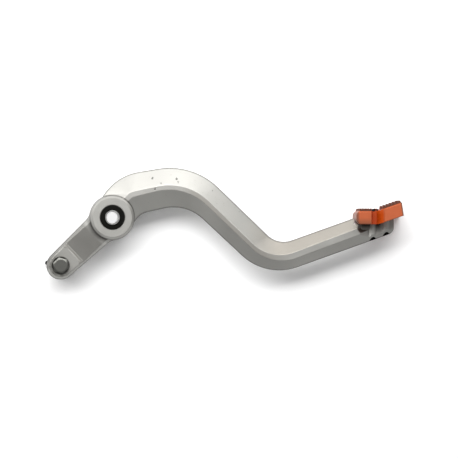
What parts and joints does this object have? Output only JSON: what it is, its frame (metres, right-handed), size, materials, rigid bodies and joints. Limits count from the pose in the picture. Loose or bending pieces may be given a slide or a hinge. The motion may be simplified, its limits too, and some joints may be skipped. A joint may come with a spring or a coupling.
{
  "type": "motorcycle brake pedal",
  "caption": "Curved forged foot lever with a sealed needle-bearing pivot, a short push rod arm and a bolted serrated step plate.",
  "frame": {"origin": "on the pivot axis, at the inner end of the pivot sleeve, on which the pedal lies", "axes": "+Z along the pivot axis, away from the motorcycle; +X from the pivot towards the step plate; +Y towards the side that the foot presses"},
  "size_m": [0.2474, 0.0774, 0.03],
  "materials": {
    "cast_metal": "shot-blasted satin",
    "bearing_steel": "ground",
    "cage_steel": "satin",
    "zinc_steel": "dulled zinc plate",
    "black_steel": "black oxide",
    "bush_brass": "turned",
    "orange_anodised": "satin orange anodising",
    "seal_rubber": "matt"
  },
  "bodies": {
    "lever": {"lever_forging": "cast_metal", "bearing_outer_ring": "bearing_steel", "inner_seal": "seal_rubber", "outer_seal": "seal_rubber", "step_plate": "orange_anodised", "step_plate_screws": "black_steel", "pushrod_bolt": "zinc_steel", "pushrod_spring_washer": "black_steel", "pushrod_bush": "bush_brass", "pushrod_washer": "zinc_steel", "pushrod_castle_nut": "zinc_steel", "split_pin": "black_steel"},
    "sleeve": {"pivot_sleeve": "bearing_steel"},
    "cage": {"needle_cage": "cage_steel"},
    "roller_01": {"needle_roller_01": "bearing_steel"},
    "roller_02": {"needle_roller_02": "bearing_steel"},
    "roller_03": {"needle_roller_03": "bearing_steel"},
    "roller_04": {"needle_roller_04": "bearing_steel"},
    "roller_05": {"needle_roller_05": "bearing_steel"},
    "roller_06": {"needle_roller_06": "bearing_steel"},
    "roller_07": {"needle_roller_07": "bearing_steel"},
    "roller_08": {"needle_roller_08": "bearing_steel"},
    "roller_09": {"needle_roller_09": "bearing_steel"},
    "roller_10": {"needle_roller_10": "bearing_steel"},
    "roller_11": {"needle_roller_11": "bearing_steel"},
    "roller_12": {"needle_roller_12": "bearing_steel"}
  },
  "joints": [
    {"name": "sleeve_spin", "type": "hinge", "parent": "lever", "child": "sleeve", "pos_m": [0, 0, 0.014], "axis": [0, 0, 1], "continuous": true},
    {"name": "cage_spin", "type": "hinge", "parent": "lever", "child": "cage", "pos_m": [0, 0, 0.014], "axis": [0, 0, 1], "continuous": true},
    {"name": "roller_01_spin", "type": "hinge", "parent": "cage", "child": "roller_01", "pos_m": [0.00603, 0, 0.014], "axis": [0, 0, 1], "continuous": true},
    {"name": "roller_02_spin", "type": "hinge", "parent": "cage", "child": "roller_02", "pos_m": [0.00522, 0.00301, 0.014], "axis": [0, 0, 1], "continuous": true},
    {"name": "roller_03_spin", "type": "hinge", "parent": "cage", "child": "roller_03", "pos_m": [0.00301, 0.00522, 0.014], "axis": [0, 0, 1], "continuous": true},
    {"name": "roller_04_spin", "type": "hinge", "parent": "cage", "child": "roller_04", "pos_m": [0, 0.00603, 0.014], "axis": [0, 0, 1], "continuous": true},
    {"name": "roller_05_spin", "type": "hinge", "parent": "cage", "child": "roller_05", "pos_m": [-0.00301, 0.00522, 0.014], "axis": [0, 0, 1], "continuous": true},
    {"name": "roller_06_spin", "type": "hinge", "parent": "cage", "child": "roller_06", "pos_m": [-0.00522, 0.00301, 0.014], "axis": [0, 0, 1], "continuous": true},
    {"name": "roller_07_spin", "type": "hinge", "parent": "cage", "child": "roller_07", "pos_m": [-0.00603, 0, 0.014], "axis": [0, 0, 1], "continuous": true},
    {"name": "roller_08_spin", "type": "hinge", "parent": "cage", "child": "roller_08", "pos_m": [-0.00522, -0.00301, 0.014], "axis": [0, 0, 1], "continuous": true},
    {"name": "roller_09_spin", "type": "hinge", "parent": "cage", "child": "roller_09", "pos_m": [-0.00301, -0.00522, 0.014], "axis": [0, 0, 1], "continuous": true},
    {"name": "roller_10_spin", "type": "hinge", "parent": "cage", "child": "roller_10", "pos_m": [0, -0.00603, 0.014], "axis": [0, 0, 1], "continuous": true},
    {"name": "roller_11_spin", "type": "hinge", "parent": "cage", "child": "roller_11", "pos_m": [0.00301, -0.00522, 0.014], "axis": [0, 0, 1], "continuous": true},
    {"name": "roller_12_spin", "type": "hinge", "parent": "cage", "child": "roller_12", "pos_m": [0.00522, -0.00301, 0.014], "axis": [0, 0, 1], "continuous": true}
  ],
  "couplings": [
    {"joint": "cage_spin", "follows": "sleeve_spin", "ratio": 0.4167},
    {"joint": "roller_01_spin", "follows": "sleeve_spin", "ratio": -2.9167},
    {"joint": "roller_02_spin", "follows": "sleeve_spin", "ratio": -2.9167},
    {"joint": "roller_03_spin", "follows": "sleeve_spin", "ratio": -2.9167},
    {"joint": "roller_04_spin", "follows": "sleeve_spin", "ratio": -2.9167},
    {"joint": "roller_05_spin", "follows": "sleeve_spin", "ratio": -2.9167},
    {"joint": "roller_06_spin", "follows": "sleeve_spin", "ratio": -2.9167},
    {"joint": "roller_07_spin", "follows": "sleeve_spin", "ratio": -2.9167},
    {"joint": "roller_08_spin", "follows": "sleeve_spin", "ratio": -2.9167},
    {"joint": "roller_09_spin", "follows": "sleeve_spin", "ratio": -2.9167},
    {"joint": "roller_10_spin", "follows": "sleeve_spin", "ratio": -2.9167},
    {"joint": "roller_11_spin", "follows": "sleeve_spin", "ratio": -2.9167},
    {"joint": "roller_12_spin", "follows": "sleeve_spin", "ratio": -2.9167}
  ]
}
